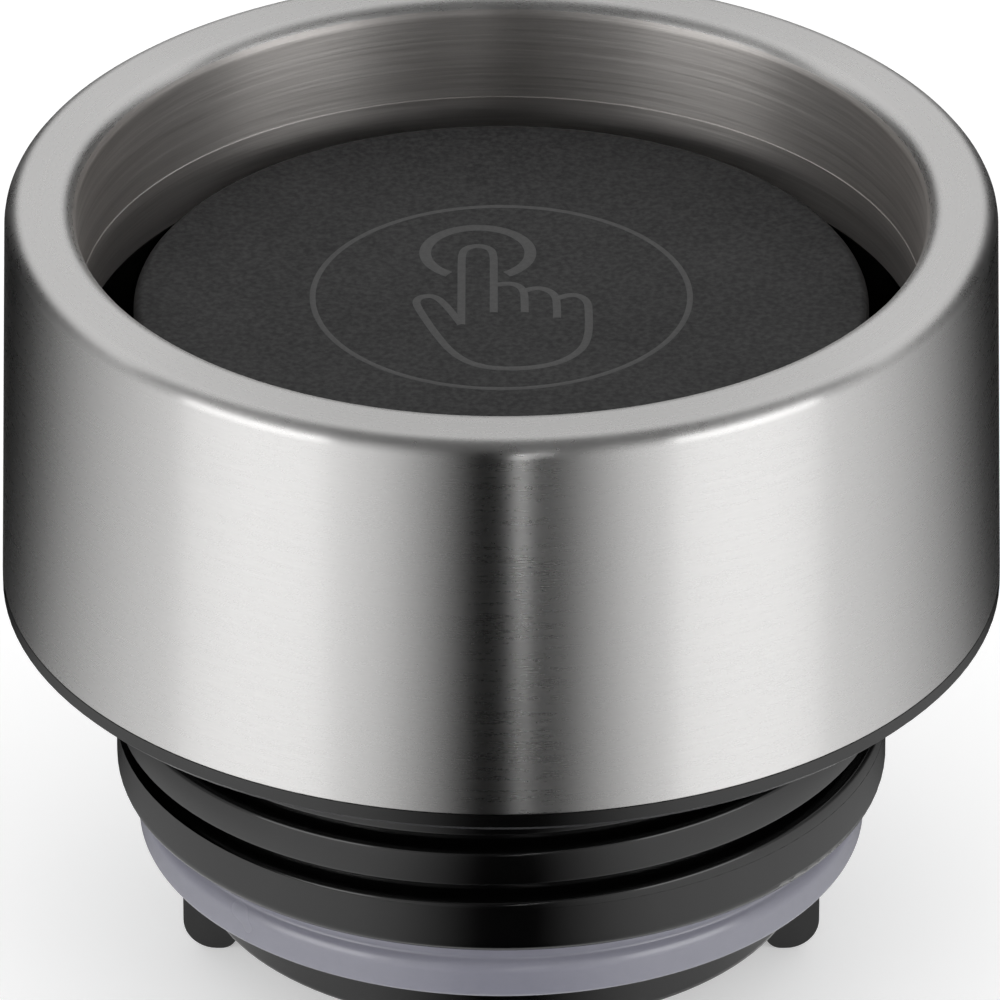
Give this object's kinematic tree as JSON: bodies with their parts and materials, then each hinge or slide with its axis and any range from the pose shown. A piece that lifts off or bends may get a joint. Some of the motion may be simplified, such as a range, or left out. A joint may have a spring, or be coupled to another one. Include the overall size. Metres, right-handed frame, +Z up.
{
  "type": "press-button flask closure",
  "caption": "Screw-in flask closure with a brushed steel drinking collar, recessed press button, threaded neck, silicone seal and spring-closed valve.",
  "frame": {"origin": "on the closure's axis, at the level of the valve plate's foot and the lug tips it stands on", "axes": "+Z up along the axis to the rim, +X through the right-hand grip lug, +Y to the back"},
  "size_m": [0.0732, 0.0732, 0.0618],
  "materials": {
    "brushed_stainless": "fine brushing round the collar",
    "black_moulding": "smooth moulded, half gloss",
    "button_black": "fine-grained matt",
    "clear_silicone": "frosted, translucent",
    "black_rubber": "matt",
    "plain_stainless": "bright drawn",
    "white_acetal": "smooth moulded"
  },
  "bodies": {
    "shell": {"steel_collar": "brushed_stainless", "well_liner": "black_moulding", "neck_body": "black_moulding", "liner_seal": "black_rubber", "neck_seal": "clear_silicone"},
    "cage": {"valve_cage": "black_moulding", "cage_seal": "black_rubber", "spring_washer": "plain_stainless", "return_spring": "plain_stainless", "stem_seal": "black_rubber", "seal_retainer": "white_acetal", "latch_cam": "white_acetal"},
    "plunger": {"button_cap": "button_black", "button_carrier": "black_moulding", "valve_stem": "plain_stainless", "stem_screw": "plain_stainless", "valve_plate": "black_moulding", "valve_gasket": "clear_silicone", "plate_nut": "plain_stainless"},
    "follower": {"latch_follower": "white_acetal"}
  },
  "joints": [
    {"name": "cage_twist", "type": "hinge", "parent": "shell", "child": "cage", "pos_m": [0, 0, 0.0174], "axis": [0, 0, 1], "range_deg": [0, 30]},
    {"name": "button_press", "type": "slide", "parent": "cage", "child": "plunger", "axis": [0, 0, -1], "range_m": [0, 0.004], "stiffness_N_per_m": 900, "springref_m": -0.005, "deforming": ["return_spring"]},
    {"name": "follower_swing", "type": "hinge", "parent": "plunger", "child": "follower", "pos_m": [0, -0.0047, 0.044], "axis": [0, 1, 0], "range_deg": [0, 12]}
  ],
  "couplings": [
    {"joint": "follower_swing", "follows": "button_press", "rad_per_m": 50}
  ]
}
